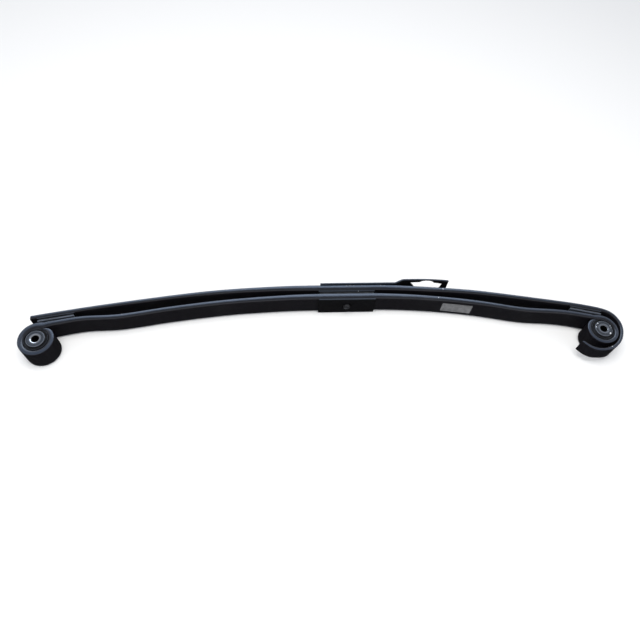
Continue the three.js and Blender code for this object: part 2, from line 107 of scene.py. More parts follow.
SECOND_FAR = [[-888, -32.1], [-860, -26.6], [-840, -22.9], [-820, -19.2], [-800, -15.6],
  [-780, -12.0], [-740, -5.1], [-700, 1.5], [-660, 7.8], [-620, 14.0], [-580, 20.0], [-540, 25.8],
  [-500, 31.5], [-460, 36.8], [-420, 41.6], [-380, 45.7], [-340, 49.1], [-300, 51.8],
  [-260, 54.1], [-220, 56.1], [-180, 57.7], [-140, 58.5], [-84, 58.7], [0, 58.7], [84, 58.7],
  [120, 57.5], [160, 55.0], [200, 51.9], [240, 48.8], [280, 45.4], [320, 41.8], [360, 37.6],
  [400, 32.3], [440, 26.2], [480, 19.6], [520, 12.7], [560, 5.8], [600, -1.1], [640, -8.1],
  [680, -15.6], [700, -19.9], [720, -24.8]]
MAIN_T = [[0, 18], [90, 18], [300, 14.6], [500, 13.6], [740, 13.6], [860, 15]]
SECOND_T = [[0, 17.5], [90, 17.5], [300, 14], [500, 12], [700, 10.8], [890, 10.4]]
WRAP_OUT = [[742, -30.4], [757, -35.2], [771, -41.6], [783, -50.6], [792, -62.5], [798.6, -77],
  [801.3, -93], [799.8, -110], [794.2, -127], [785, -143], [772.5, -156.5], [757, -166.8],
  [739, -173], [720, -175], [702, -172.6], [687, -165.6], [675.5, -155.8], [668.5, -147.4], [665.0, -143.9]]
WRAP_IN = [[740, -40.9], [753, -44.6], [765.8, -49.6], [776.2, -56.8], [784.2, -66.6], [789.8, -79],
  [792.3, -93], [790.8, -108], [785.4, -123], [777, -137.6], [766, -149.8], [752.5, -159],
  [736.5, -164.5], [720, -166.2], [705, -164.1], [692, -158.6], [680.5, -149.9], [676.8, -146.2], [673.6, -142.9]]


def pchip(table):
    n = len(table)
    h = [table[i + 1][0] - table[i][0] for i in range(n - 1)]
    d = [(table[i + 1][1] - table[i][1]) / h[i] for i in range(n - 1)]
    m = [0.0] * n
    for i in range(1, n - 1):
        if d[i - 1] * d[i] > 0:
            w1, w2 = 2 * h[i] + h[i - 1], h[i] + 2 * h[i - 1]
            m[i] = (w1 + w2) / (w1 / d[i - 1] + w2 / d[i])
    m[0], m[-1] = d[0], d[-1]

    def f(x):
        i = 0
        while i < n - 2 and x > table[i + 1][0]:
            i += 1
        t = (x - table[i][0]) / h[i]
        t2, t3 = t * t, t * t * t
        return ((2 * t3 - 3 * t2 + 1) * table[i][1] + (t3 - 2 * t2 + t) * h[i] * m[i]
                + (-2 * t3 + 3 * t2) * table[i + 1][1] + (t3 - t2) * h[i] * m[i + 1])
    return f


def linear(table):
    def f(x):
        a = abs(x)
        for i in range(len(table) - 1):
            if a <= table[i + 1][0]:
                k = (a - table[i][0]) / (table[i + 1][0] - table[i][0])
                return table[i][1] + k * (table[i + 1][1] - table[i][1])
        return table[-1][1]
    return f


main_far, second_far = pchip(MAIN_FAR), pchip(SECOND_FAR)
main_t, second_t = linear(MAIN_T), linear(SECOND_T)
def main_near(x): return main_far(x) - main_t(x)
def second_near(x):
    return second_far(720) - (x - 720) * 0.27 - second_t(x) if x > 720 else second_far(x) - second_t(x)
def steps(a, b, d):
    n = max(1, round(abs(b - a) / d))
    return [a + (b - a) * i / n for i in range(n + 1)]
def smooth(t):
    t = min(1.0, max(0.0, t))
    return t * t * (3 - 2 * t)
def polar(c, r, deg): return (c[0] + r * math.cos(math.radians(deg)), c[1] + r * math.sin(math.radians(deg)))


def catmull(pts, per):
    """Points of a smooth curve through pts, per of them for each span."""
    out = []
    n = len(pts)
    for i in range(n - 1):
        p0 = pts[i - 1] if i else [2 * a - b for a, b in zip(pts[0], pts[1])]
        p3 = pts[i + 2] if i + 2 < n else [2 * a - b for a, b in zip(pts[-1], pts[-2])]
        p1, p2 = pts[i], pts[i + 1]
        for k in range(per):
            t = k / per
            out.append(tuple(0.5 * (2 * b + (c - a) * t + (2 * a - 5 * b + 4 * c - d) * t * t
                                    + (3 * b - a - 3 * c + d) * t ** 3) for a, b, c, d in zip(p0, p1, p2, p3)))
    out.append(tuple(pts[-1]))
    return out


# =============================================================== mesh helpers
def settle(o, mat, sharp=34.0):
    me = o.data
    for p in me.polygons:
        p.use_smooth = True
    me.set_sharp_from_angle(angle=math.radians(sharp))
    if "rest" in me.attributes:
        me.attributes.remove(me.attributes["rest"])
    a = me.attributes.new("rest", "FLOAT_VECTOR", "POINT")
    co = [0.0] * (3 * len(me.vertices))
    me.vertices.foreach_get("co", co)
    a.data.foreach_set("vector", co)
    me.materials.clear()
    me.materials.append(mat)
    return o


def solid(name, verts, faces, mat, sharp=34.0, scale=MM):
    """An object from points (millimetres), held inside the model's box, faces turned outward."""
    v = [tuple(min(max(c * scale, CAD_LO[i]), CAD_HI[i]) for i, c in enumerate(p)) for p in verts]
    me = bpy.data.meshes.new(name)
    me.from_pydata(v, [], faces)
    bm = bmesh.new()
    bm.from_mesh(me)
    bmesh.ops.remove_doubles(bm, verts=bm.verts, dist=1e-7)
    bmesh.ops.recalc_face_normals(bm, faces=bm.faces)
    bm.to_mesh(me)
    bm.free()
    me.update()
    o = bpy.data.objects.new(name, me)
    scene.collection.objects.link(o)
    return settle(o, mat, sharp)


def apply_modifiers(o, mat, sharp=34.0):
    dg = bpy.context.evaluated_depsgraph_get()
    dg.update()
    me = bpy.data.meshes.new_from_object(o.evaluated_get(dg), depsgraph=dg)
    o.modifiers.clear()
    old = o.data
    o.data = me
    me.name = o.name
    if old.users == 0:
        bpy.data.meshes.remove(old)
    return settle(o, mat, sharp)


def drop(o):
    me = o.data
    bpy.data.objects.remove(o)
    if me.users == 0:
        bpy.data.meshes.remove(me)


def cut(o, cutters, mat, sharp=34.0):
    for c in cutters:
        m = o.modifiers.new("cut", "BOOLEAN")
        m.operation, m.solver, m.object = "DIFFERENCE", "EXACT", c
    apply_modifiers(o, mat, sharp)
    for c in cutters:
        drop(c)
    return o


def bevel(o, mat, width, segments=3, angle=32.0, sharp=60.0):
    """Rounds the sharp edges (millimetres), with the flats' shading kept flat."""
    bm = bmesh.new()
    bm.from_mesh(o.data)
    bmesh.ops.remove_doubles(bm, verts=bm.verts, dist=2e-6)
    bmesh.ops.dissolve_limit(bm, angle_limit=math.radians(0.6), verts=bm.verts, edges=bm.edges)
    bm.to_mesh(o.data)
    bm.free()
    m = o.modifiers.new("bevel", "BEVEL")
    m.width, m.segments, m.limit_method, m.angle_limit = width * MM, segments, "ANGLE", math.radians(angle)
    m.use_clamp_overlap = True
    m.harden_normals = False
    w = o.modifiers.new("normals", "WEIGHTED_NORMAL")
    w.keep_sharp, w.weight = True, 90
    for p in o.data.polygons:
        p.use_smooth = True
    apply_modifiers(o, mat, sharp)
    return o


def from_node(name, node, mat, width, segments=3, angle=32.0):
    """A finished copy of a CAD node's shape with its edges broken."""
    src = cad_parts[node]
    me = bpy.data.meshes.new(name)
    bm = bmesh.new()
    bm.from_mesh(src.data)
    bmesh.ops.remove_doubles(bm, verts=bm.verts, dist=2e-6)
    bm.to_mesh(me)
    bm.free()
    o = bpy.data.objects.new(name, me)
    scene.collection.objects.link(o)
    bevel(o, mat, width, segments, angle)
    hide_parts(node)
    return o


def fillet(points, radii, n=4):
    """A closed outline with its corners rounded."""
    out = []
    m = len(points)
    for i, p in enumerate(points):
        r = radii[i] if isinstance(radii, (list, tuple)) else radii
        if r <= 0:
            out.append(tuple(p))
            continue
        a, b = Vector(points[i - 1]), Vector(points[(i + 1) % m])
        q = Vector(p)
        ra, rb = min(r, (a - q).length * 0.48), min(r, (b - q).length * 0.48)
        s, e = q + (a - q).normalized() * ra, q + (b - q).normalized() * rb
        for k in range(n + 1):
            t = k / n
            out.append(tuple((1 - t) ** 2 * s + 2 * t * (1 - t) * q + t * t * e))
    return out


def lathe(name, profile, centre, mat, seg=96, axis="Z", sharp=40.0, wobble=None):
    """A closed ring or turned solid: profile is (radius, height) round the outline, millimetres."""
    verts, faces, n = [], [], len(profile)
    for k in range(seg):
        a = 2 * math.pi * k / seg
        for r, h in profile:
            if wobble:
                r, h = wobble(a, r, h)
            x, y = r * math.cos(a), r * math.sin(a)
            p = (x, y, h) if axis == "Z" else (x, h, y)
            verts.append((p[0] + centre[0], p[1] + centre[1], p[2] + centre[2]))
    for k in range(seg):
        b = (k + 1) % seg
        for i in range(n):
            j = (i + 1) % n
            if profile[i][0] < 1e-6 and profile[j][0] < 1e-6:
                continue
            f = [k * n + i, b * n + i, b * n + j, k * n + j]
            if profile[i][0] < 1e-6:
                f = [k * n + i, b * n + j, k * n + j]
            elif profile[j][0] < 1e-6:
                f = [k * n + i, b * n + i, k * n + j]
            faces.append(f)
    return solid(name, verts, faces, mat, sharp)


def prism(name, outline, z0, z1, mat, axis="Z", sharp=34.0):
    """A straight extrusion of a closed outline."""
    n = len(outline)
    if axis == "Z":
        lo = [(x, y, z0) for x, y in outline]
        hi = [(x, y, z1) for x, y in outline]
    else:
        lo = [(x, z0, y) for x, y in outline]
        hi = [(x, z1, y) for x, y in outline]
    faces = [list(range(n)), list(range(n, 2 * n))[::-1]]
    faces += [[i, (i + 1) % n, n + (i + 1) % n, n + i] for i in range(n)]
    return solid(name, lo + hi, faces, mat, sharp)


# =============================================================== materials
def material(name, base, rough, metallic=0.0, spec=0.5):
    m = bpy.data.materials.new(name)
    m.use_nodes = True
    nt = m.node_tree
    b = nt.nodes["Principled BSDF"]
    b.inputs["Base Color"].default_value = (*base, 1)
    b.inputs["Roughness"].default_value = rough
    b.inputs["Metallic"].default_value = metallic
    b.inputs["Specular IOR Level"].default_value = spec
    return m, nt, b


class Graph:
    """Short calls for building a node tree."""

    def __init__(self, nt):
        self.nt = nt
        self.rest = self.node("ShaderNodeAttribute")
        self.rest.attribute_name = "rest"
        self.co = self.rest.outputs["Vector"]
        self.geo = None

    def node(self, kind, **props):
        n = self.nt.nodes.new(kind)
        for k, v in props.items():
            setattr(n, k, v)
        return n

    def put(self, sock, value):
        if isinstance(value, bpy.types.NodeSocket):
            self.nt.links.new(value, sock)
        elif value is not None:
            sock.default_value = value

    def math(self, op, a, b=None, c=None, clamp=False):
        n = self.node("ShaderNodeMath", operation=op, use_clamp=clamp)
        for s, v in zip(n.inputs, (a, b, c)):
            self.put(s, v)
        return n.outputs[0]

    def span(self, v, a, b, lo=0.0, hi=1.0, soft=True):
        n = self.node("ShaderNodeMapRange", interpolation_type="SMOOTHSTEP" if soft else "LINEAR", clamp=True)
        for k, x in (("Value", v), ("From Min", a), ("From Max", b), ("To Min", lo), ("To Max", hi)):
            self.put(n.inputs[k], x)
        return n.outputs["Result"]

    def scaled(self, sx, sy, sz, off=(0, 0, 0), src=None):
        n = self.node("ShaderNodeMapping")
        n.inputs["Scale"].default_value = (sx, sy, sz)
        n.inputs["Location"].default_value = off
        self.put(n.inputs["Vector"], src or self.co)
        return n.outputs["Vector"]

    def noise(self, scale, detail=2.0, rough=0.5, vec=None, distort=0.0):
        n = self.node("ShaderNodeTexNoise")
        n.inputs["Scale"].default_value = scale
        n.inputs["Detail"].default_value = detail
        n.inputs["Roughness"].default_value = rough
        n.inputs["Distortion"].default_value = distort
        self.put(n.inputs["Vector"], vec or self.co)
        return n.outputs["Fac"]

    def voronoi(self, scale, feature="F1", vec=None):
        n = self.node("ShaderNodeTexVoronoi", feature=feature)
        n.inputs["Scale"].default_value = scale
        self.put(n.inputs["Vector"], vec or self.co)
        return n.outputs["Distance"]

    def mix(self, f, a, b):
        n = self.node("ShaderNodeMix", data_type="RGBA")
        self.put(n.inputs[0], f)
        for s, v in ((n.inputs[6], a), (n.inputs[7], b)):
            self.put(s, (*v, 1) if isinstance(v, tuple) and len(v) == 3 else v)
        return n.outputs[2]

    def normal_z(self):
        g = self.node("ShaderNodeNewGeometry")
        s = self.node("ShaderNodeSeparateXYZ")
        self.nt.links.new(g.outputs["Normal"], s.inputs[0])
        return self.math("ABSOLUTE", s.outputs["Z"])

    def xyz(self, src=None):
        s = self.node("ShaderNodeSeparateXYZ")
        self.put(s.inputs[0], src or self.co)
        return s.outputs["X"], s.outputs["Y"], s.outputs["Z"]

    def bump(self, height, strength, distance, prev=None):
        n = self.node("ShaderNodeBump")
        n.inputs["Strength"].default_value = strength
        n.inputs["Distance"].default_value = distance
        self.put(n.inputs["Height"], height)
        if prev is not None:
            self.nt.links.new(prev, n.inputs["Normal"])
        return n.outputs["Normal"]

    def spots(self, places, wob=0.45):
        """1 inside ragged spots at the given places (x, y, z, radius in millimetres)."""
        n1 = self.node("ShaderNodeTexNoise")
        n1.inputs["Scale"].default_value = 520.0
        n1.inputs["Detail"].default_value = 2.0
        self.put(n1.inputs["Vector"], self.co)
        total = None
        for x, y, z, r in places:
            d = self.node("ShaderNodeVectorMath", operation="DISTANCE")
            self.put(d.inputs[0], self.co)
            d.inputs[1].default_value = (x * MM, y * MM, z * MM)
            ragged = self.math("MULTIPLY_ADD", n1.outputs["Fac"], r * wob * 2 * MM, d.outputs["Value"])
            s = self.span(ragged, r * (1 + wob) * MM, r * (0.72 + wob) * MM, 0.0, 1.0)
            total = s if total is None else self.math("MAXIMUM", total, s)
        return total


# NEAR_TONE is the black paint; the second tone is a painted highlight, the lighter blue-grey the side edges take in
# place of the light they reflect
NEAR_TONE = (0.0076, 0.0070, 0.0092)
EDGE_HIGHLIGHT_TONE = (0.022, 0.030, 0.048)


def leaf_paint():
    m, nt, b = material("leaf_paint", (0.008, 0.008, 0.009), 0.4, 0.0, 0.5)
    g = Graph(nt)
    flow = g.node("ShaderNodeAttribute")
    flow.attribute_name = "flow"
    up = g.normal_z()
    broad = g.noise(14.0, 3.0, 0.55)
    streak = g.noise(1.0, 5.0, 0.62, g.scaled(20, 300, 300, src=flow.outputs["Vector"]), 0.25)
    mottle = g.noise(95.0, 4.0, 0.6)
    # painted highlight: faces whose normals point along ±Z (the side edges) blend towards the lighter blue-grey edge
    # tone, broken up by mottle and broad noise
    edge_highlight = g.span(up, 0.30, 0.97)
    edge_highlight = g.math("MULTIPLY", edge_highlight, g.math("MULTIPLY_ADD", mottle, 0.55, 0.72))
    edge_highlight = g.math("MULTIPLY", edge_highlight, g.math("MULTIPLY_ADD", broad, 0.5, 0.75), clamp=True)
    # painted highlight: the edge band is brightest towards the outer side of each edge and fades towards the inner
    # side, as the light falls
    fx, fy, fz = g.xyz(flow.outputs["Vector"])
    edge_highlight = g.math("MULTIPLY", edge_highlight, g.span(fy, -4.2 * MM, 3.0 * MM, 0.10, 1.0), clamp=True)
    col = g.mix(edge_highlight, NEAR_TONE, EDGE_HIGHLIGHT_TONE)
    # rubbed streaks along the side edges in a lighter blue-grey: partly wear, partly painted highlight
    rub_and_highlight = g.math("MULTIPLY", g.span(streak, 0.60, 0.78), g.span(up, 0.75, 0.99))
    col = g.mix(g.math("MULTIPLY", rub_and_highlight, 0.42), col, (0.085, 0.100, 0.130))
    # faint film of dust on the broad faces
    film = g.span(g.noise(6.5, 4.0, 0.65), 0.50, 0.78)
    col = g.mix(g.math("MULTIPLY", film, 0.30), col, (0.022, 0.022, 0.023))
    speck = g.span(g.noise(640.0, 1.0, 0.4), 0.735, 0.77)
    col = g.mix(g.math("MULTIPLY", speck, 0.5), col, (0.16, 0.17, 0.19))
    chips = g.spots([(749, -162.5, 34.6, 2.0), (288, 39.5, 34.6, 1.7), (270, 9.8, 34.6, 1.6),
                     (-30, 43.2, 34.6, 1.2), (-640, -31.0, 34.4, 0.9)])
    col = g.mix(chips, col, (0.62, 0.64, 0.66))
    # pale rubbed patches on the second leaf over the clamp
    worn = g.spots([(0, 55, 34.6, 2.4), (10, 55.4, 34.6, 2.6), (22, 55.4, 34.6, 1.8), (46, 55.6, 34.6, 1.2),
                    (76, 55.4, 34.6, 1.2), (102, 54.6, 34.6, 2.2), (112, 54.2, 34.6, 2.0)], 0.8)
    col = g.mix(g.math("MULTIPLY", worn, 0.5), col, (0.20, 0.195, 0.185))
    nt.links.new(col, b.inputs["Base Color"])
    r = g.math("MULTIPLY_ADD", mottle, 0.16, 0.24)
    r = g.math("ADD", r, g.math("MULTIPLY", rub_and_highlight, 0.18))
    r = g.math("ADD", r, g.math("MULTIPLY", film, 0.10), clamp=True)
    nt.links.new(r, b.inputs["Roughness"])
    n = g.bump(g.noise(430.0, 2.0, 0.5), 0.22, 0.00028)
    n = g.bump(g.noise(70.0, 3.0, 0.5), 0.30, 0.0009, n)
    n = g.bump(streak, 0.10, 0.0006, n)
    nt.links.new(n, b.inputs["Normal"])
    return m


def plate_paint(name, dark, light, rough, chips=None, spec=0.5):
    m, nt, b = material(name, dark, rough, 0.0, spec)
    g = Graph(nt)
    up = g.normal_z()
    mottle = g.noise(120.0, 4.0, 0.6)
    broad = g.noise(20.0, 3.0, 0.55)
    # painted highlight: faces whose normals point along ±Z blend from the dark paint to the lighter tone given as light
    e = g.math("MULTIPLY", g.span(up, 0.25, 0.9), g.math("MULTIPLY_ADD", mottle, 0.6, 0.7))
    e = g.math("MULTIPLY", e, g.math("MULTIPLY_ADD", broad, 0.5, 0.75), clamp=True)
    col = g.mix(e, dark, light)
    scuff = g.span(g.noise(1.0, 5.0, 0.65, g.scaled(45, 420, 300), 0.3), 0.66, 0.80)
    col = g.mix(g.math("MULTIPLY", scuff, 0.22), col, tuple(min(1.0, c * 1.8 + 0.02) for c in light))
    speck = g.span(g.noise(700.0, 1.0, 0.4), 0.74, 0.78)
    col = g.mix(g.math("MULTIPLY", speck, 0.4), col, (0.16, 0.17, 0.18))
    if chips:
        col = g.mix(g.spots(chips), col, (0.72, 0.74, 0.76))
    nt.links.new(col, b.inputs["Base Color"])
    nt.links.new(g.math("MULTIPLY_ADD", mottle, 0.2, rough - 0.1, clamp=True), b.inputs["Roughness"])
    n = g.bump(g.noise(520.0, 2.0, 0.55), 0.25, 0.00025)
    n = g.bump(g.noise(60.0, 2.0, 0.5), 0.25, 0.0007, n)
    nt.links.new(n, b.inputs["Normal"])
    return m


def machined(name, base, rough, metallic, centre, ring_scale, chips=None, worn=None, paint=(0.085, 0.095, 0.115), lip=None):
    """Turned metal with concentric tool marks about an eye centre, under thin grey paint."""
    m, nt, b = material(name, base, rough, metallic, 0.35)
    g = Graph(nt)
    x, y, z = g.xyz()
    dx, dy = g.math("SUBTRACT", x, centre[0] * MM), g.math("SUBTRACT", y, centre[1] * MM)
    rad = g.math("SQRT", g.math("ADD", g.math("MULTIPLY", dx, dx), g.math("MULTIPLY", dy, dy)))
    ang = g.math("ARCTAN2", dy, dx)
    comb = g.node("ShaderNodeCombineXYZ")
    g.put(comb.inputs[0], g.math("MULTIPLY", rad, ring_scale))
    g.put(comb.inputs[1], g.math("MULTIPLY", ang, 1.2))
    g.put(comb.inputs[2], g.math("MULTIPLY", z, 160.0))
    turn = g.noise(1.0, 3.0, 0.6, comb.outputs[0])
    mottle = g.noise(150.0, 4.0, 0.6)
    up = g.normal_z()
    bare = None
    if worn:
        r0, r1, a0, a1 = worn
        zone = g.math("MULTIPLY", g.span(rad, (r0 - 0.6) * MM, r0 * MM), g.span(rad, (r1 + 0.5) * MM, r1 * MM))
        sector = g.math("MULTIPLY", g.span(g.math("ADD", ang, g.math("MULTIPLY", mottle, 0.5)), a0 - 0.2, a0 + 0.35),
                        g.span(g.math("ADD", ang, g.math("MULTIPLY", mottle, 0.5)), a1 + 0.2, a1 - 0.35))
        bare = g.math("MULTIPLY", zone, g.math("MAXIMUM", sector, 0.12), clamp=True)
    tone = g.mix(g.math("MULTIPLY_ADD", turn, 0.7, 0.1, clamp=True), tuple(c * 0.72 for c in paint), tuple(c * 1.25 for c in paint))
    # painted shade: walls whose normals lie across Z (bore and outer walls) are darkened to a quarter of the paint tone
    tone = g.mix(g.span(up, 0.2, 0.9), tuple(c * 0.25 for c in paint), tone)
    # painted shade: the inner sleeve's bore is painted near-black, as if unlit
    bore_shade = g.math("MULTIPLY", g.span(rad, 11.6 * MM, 11.2 * MM), g.span(g.math("ABSOLUTE", z), 36.6 * MM, 36.0 * MM))
    if chips:
        sp = g.spots(chips)
        bare = sp if bare is None else g.math("MAXIMUM", bare, sp)
    col = tone if bare is None else g.mix(bare, tone, base)
    # painted highlight: a thin lighter ring between radii r0 and r1 on the end faces
    if lip:
        r0, r1, light = lip
        shine = g.math("MULTIPLY", g.span(rad, (r0 - 0.4) * MM, r0 * MM), g.span(rad, (r1 + 0.4) * MM, r1 * MM))
        shine = g.math("MULTIPLY", shine, g.math("MULTIPLY_ADD", mottle, 1.1, 0.25), clamp=True)
        col = g.mix(g.math("MULTIPLY", shine, g.span(up, 0.15, 0.6)), col, light)
    col = g.mix(bore_shade, col, (0.003, 0.003, 0.003))
    if bare is not None:
        bare = g.math("MULTIPLY", bare, g.math("SUBTRACT", 1.0, bore_shade), clamp=True)
    nt.links.new(col, b.inputs["Base Color"])
    if bare is not None:
        nt.links.new(g.math("MULTIPLY", bare, metallic), b.inputs["Metallic"])
        nt.links.new(g.math("MULTIPLY_ADD", bare, -0.12, g.math("MULTIPLY_ADD", mottle, 0.2, rough)), b.inputs["Roughness"])
    else:
        b.inputs["Metallic"].default_value = 0.0
        nt.links.new(g.math("MULTIPLY_ADD", mottle, 0.2, rough), b.inputs["Roughness"])
    n = g.bump(turn, 0.25, 0.0003)
    n = g.bump(g.noise(480.0, 2.0, 0.5), 0.2, 0.0002, n)
    nt.links.new(n, b.inputs["Normal"])
    return m


def rubber_mat(name="bush_rubber", scuffs_and_sheen=False):
    m, nt, b = material(name, (0.012, 0.012, 0.013), 0.75, 0.0, 0.35)
    g = Graph(nt)
    fine = g.noise(900.0, 2.0, 0.6)
    broad = g.noise(60.0, 4.0, 0.6)
    col = g.mix(g.span(broad, 0.35, 0.75), (0.010, 0.010, 0.011), (0.030, 0.031, 0.034))
    if scuffs_and_sheen:
        # lighter blue-grey streaks on faces whose normals point along ±Z: partly scuffs, partly painted highlight
        wave = g.noise(1.0, 4.0, 0.6, g.scaled(38, 330, 90), 0.8)
        col = g.mix(g.math("MULTIPLY", g.span(wave, 0.55, 0.68), g.span(g.normal_z(), 0.1, 0.8)), col, (0.050, 0.057, 0.072))
    nt.links.new(col, b.inputs["Base Color"])
    nt.links.new(g.math("MULTIPLY_ADD", fine, 0.25, 0.6), b.inputs["Roughness"])
    n = g.bump(fine, 0.35, 0.0003)
    n = g.bump(broad, 0.4, 0.0008, n)
    nt.links.new(n, b.inputs["Normal"])
    return m


def liner_mat():
    m, nt, b = material("liner_plastic", (0.10, 0.11, 0.13), 0.5, 0.0, 0.45)
    g = Graph(nt)
    grain = g.noise(1.0, 4.0, 0.6, g.scaled(60, 500, 500))
    col = g.mix(g.span(grain, 0.35, 0.7), (0.038, 0.043, 0.055), (0.080, 0.092, 0.118))
    dirt = g.span(g.noise(40.0, 4.0, 0.65), 0.48, 0.70)
    col = g.mix(g.math("MULTIPLY", dirt, 0.6), col, (0.030, 0.031, 0.034))
    nt.links.new(col, b.inputs["Base Color"])
    nt.links.new(g.math("MULTIPLY_ADD", grain, 0.3, 0.35), b.inputs["Roughness"])
    nt.links.new(g.bump(grain, 0.4, 0.0005), b.inputs["Normal"])
    return m


def bolt_mat():
    m, nt, b = material("bolt_steel", (0.03, 0.03, 0.033), 0.45, 0.55, 0.5)
    g = Graph(nt)
    fine = g.noise(600.0, 3.0, 0.6)
    broad = g.noise(90.0, 3.0, 0.6)
    col = g.mix(g.span(broad, 0.4, 0.7), (0.030, 0.030, 0.033), (0.110, 0.115, 0.126))
    col = g.mix(g.math("MULTIPLY", g.span(fine, 0.66, 0.75), 0.5), col, (0.16, 0.165, 0.175))
    nt.links.new(col, b.inputs["Base Color"])
    nt.links.new(g.math("MULTIPLY_ADD", fine, 0.3, 0.22), b.inputs["Roughness"])
    nt.links.new(g.bump(fine, 0.3, 0.0003), b.inputs["Normal"])
    return m


def foil_mat():
    m, nt, b = material("label_foil", (0.20, 0.20, 0.205), 0.42, 0.3, 0.5)
    g = Graph(nt)
    crease = g.noise(1.0, 4.0, 0.6, g.scaled(70, 70, 55), 0.6)
    brush = g.noise(1.0, 3.0, 0.6, g.scaled(25, 25, 1400))
    col = g.mix(g.span(crease, 0.35, 0.7), (0.185, 0.185, 0.190), (0.265, 0.265, 0.272))
    col = g.mix(g.math("MULTIPLY", g.span(brush, 0.4, 0.7), 0.25), col, (0.32, 0.32, 0.327))
    smudge = g.span(g.noise(34.0, 4.0, 0.7), 0.55, 0.75)
    col = g.mix(g.math("MULTIPLY", smudge, 0.5), col, (0.105, 0.105, 0.109))
    nt.links.new(col, b.inputs["Base Color"])
    nt.links.new(g.math("MULTIPLY_ADD", crease, 0.3, 0.3), b.inputs["Roughness"])
    n = g.bump(crease, 0.5, 0.0012)
    nt.links.new(n, b.inputs["Normal"])
    return m


LEAF = leaf_paint()
# the second colour of each plate paint is its painted highlight tone for faces whose normals point along ±Z
PLATE = plate_paint("plate_paint", (0.0038, 0.0036, 0.0045), (0.020, 0.024, 0.032), 0.55, None, 0.25)
SPACER = plate_paint("spacer_paint", (0.0035, 0.0035, 0.0042), (0.009, 0.011, 0.015), 0.66, [(34.2, 36.4, 33.4, 0.9)], 0.2)
BRACKET = plate_paint("bracket_paint", (0.0026, 0.0023, 0.0029), (0.026, 0.031, 0.044), 0.52, None, 0.35)
RUBBER = rubber_mat()
PAD_RUBBER = rubber_mat("pad_rubber", True)
LINER = liner_mat()
BOLT = bolt_mat()
FOIL = foil_mat()
EYE_MAT = {}
for _e, _c in (("rear", REAR_EYE), ("front", FRONT_EYE)):
    rim = []
    if _e == "front":
        for _a, _r in ((129, 1.9), (165, 1.8), (21, 1.4), (-48, 3.0), (4, 0.9)):
            rim.append((*polar(_c, 21.8, _a), 38.1, _r))
    # the washers' lip ring is a painted highlight, and each eye material darkens its walls as painted shade
    EYE_MAT[_e] = {
        "washer": machined("washer_paint_" + _e, (0.78, 0.80, 0.82), 0.36, 0.35, _c, 900.0, chips=rim or None,
                            paint=(0.024, 0.028, 0.036), lip=(23.7, 24.8, (0.130, 0.145, 0.175))),
        "outer": machined("outer_sleeve_" + _e, (0.45, 0.46, 0.48), 0.38, 0.0, _c, 1600.0, paint=(0.006, 0.0065, 0.008)),
        "inner": machined("inner_sleeve_" + _e, (0.86, 0.87, 0.88), 0.30, 0.9, _c, 1500.0,
                          worn=(10.2, 13.4, -3.3, -0.9) if _e == "rear" else (10.2, 10.9, -0.2, 0.2)),
    }

# =============================================================== leaves
HALF_W = 35.0
FACE = (-1.0, -0.93, -0.62, -0.22, 0.22, 0.62, 0.93)
EDGE_N = 14
POW_OUT, POW_IN = 0.62, 0.92


def ring(o, i, e_out, e_in, s0, shrink=0.0, thin=1.0):
    """One cross-section between the outer point o and the inner point i: flat faces, rounded side edges."""
    mx, my, hx, hy = (o[0] + i[0]) / 2, (o[1] + i[1]) / 2, (o[0] - i[0]) / 2 * thin, (o[1] - i[1]) / 2 * thin
    w = HALF_W - shrink
    zo, zi = w - e_out, w - e_in
    pts = [(1.0, f * zo) for f in FACE]
    top = []
    for k in range(EDGE_N + 1):
        a = math.pi * k / EDGE_N
        power = POW_OUT if k * 2 <= EDGE_N else POW_IN
        c, s = abs(math.cos(a)) ** power, abs(math.sin(a)) ** power
        if k * 2 <= EDGE_N:
            top.append((s0 + (1 - s0) * c, zo + e_out * s))
        else:
            top.append((s0 - (1 + s0) * c, zi + e_in * s))
    pts += top
    pts += [(-1.0, -f * zi) for f in FACE[1:]]
    pts += [(s, -z) for s, z in reversed(top)][:-1]
    return [(mx + s * hx, my + s * hy, z) for s, z in pts]


def sweep(name, sections, mat):
    n = len(sections[0])
    verts = [p for r in sections for p in r]
    faces = [list(range(n)), [len(verts) - n + k for k in range(n)][::-1]]
    for a in range(len(sections) - 1):
        for k in range(n):
            j = (k + 1) % n
            faces.append([a * n + k, a * n + j, (a + 1) * n + j, (a + 1) * n + k])
    o = solid(name, verts, faces, mat, 48.0)
    # flow: distance along the leaf, height through it, place across it
    run_len, flow, prev = 0.0, [], None
    for r in sections:
        m = [sum(p[i] for p in r) / n for i in range(3)]
        run_len += 0.0 if prev is None else math.hypot(m[0] - prev[0], m[1] - prev[1])
        a, b = r[0], r[len(r) // 2]
        ax = Vector((r[3][0] - m[0], r[3][1] - m[1], 0.0))
        ax = ax.normalized() if ax.length > 1e-6 else Vector((0, 1, 0))
        for p in r:
            flow.append((run_len, (p[0] - m[0]) * ax.x + (p[1] - m[1]) * ax.y, p[2]))
        prev = m
    tree = KDTree(len(verts))
    for k, p in enumerate(verts):
        tree.insert([min(max(c * MM, CAD_LO[i]), CAD_HI[i]) for i, c in enumerate(p)], k)
    tree.balance()
    start = sections[0][0][0]
    at = o.data.attributes.new("flow", "FLOAT_VECTOR", "POINT")
    vals = []
    for v in o.data.vertices:
        f = flow[tree.find(v.co)[1]]
        vals += [(start + f[0]) * MM, f[1] * MM, f[2] * MM]
    at.data.foreach_set("vector", vals)
    return o


def leaf_edge(t):
    return min(3.0, t * 0.28), min(6.2, t * 0.52), 0.0


def run(far, near, a, b, step=6.0):
    out = []
    for x in steps(a, b, step):
        o, i = (x, far(x)), (x, near(x))
        e = leaf_edge(o[1] - i[1])
        out.append(ring(o, i, *e))
    return out


